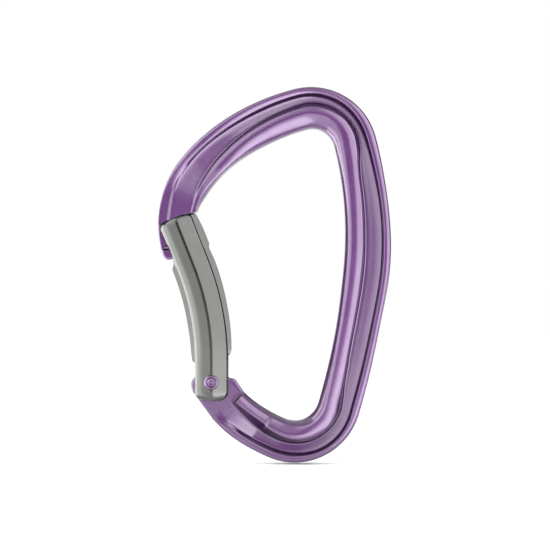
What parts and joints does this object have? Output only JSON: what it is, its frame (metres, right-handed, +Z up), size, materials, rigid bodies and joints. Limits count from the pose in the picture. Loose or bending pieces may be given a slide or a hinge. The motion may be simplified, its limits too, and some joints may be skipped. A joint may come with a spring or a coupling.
{
  "type": "bent-gate snap carabiner",
  "caption": "Asymmetric forged ring with a sprung bent gate that swings inwards on a rivet and closes over a hook-free nose.",
  "frame": {"origin": "middle of the whole part's box", "axes": "+Z up along the ring's length towards the wide end, +X across the ring from gate to spine, +Y through the ring's thickness"},
  "size_m": [0.0614, 0.0106, 0.0988],
  "materials": {
    "body_anodised": "satin purple anodised",
    "gate_anodised": "satin grey anodised",
    "rivet_anodised": "purple anodised, peened",
    "plunger_steel": "turned",
    "spring_steel": "drawn wire"
  },
  "bodies": {
    "frame": {"body": "body_anodised"},
    "gate": {"gate": "gate_anodised", "hinge_rivet": "rivet_anodised", "gate_spring": "spring_steel"},
    "plunger": {"plunger": "plunger_steel"}
  },
  "joints": [
    {"name": "gate_hinge", "type": "hinge", "parent": "frame", "child": "gate", "pos_m": [-0.01662, 0, -0.02828], "axis": [0, 1, 0], "range_deg": [0, 32], "stiffness_Nm_per_rad": 0.4, "springref_deg": -31.51},
    {"name": "plunger_slide", "type": "slide", "parent": "gate", "child": "plunger", "axis": [0, 0, 1], "range_m": [0, 0.00086], "deforming": ["gate_spring"]}
  ],
  "couplings": [
    {"joint": "plunger_slide", "follows": "gate_hinge", "m_per_rad": 0.0015}
  ]
}
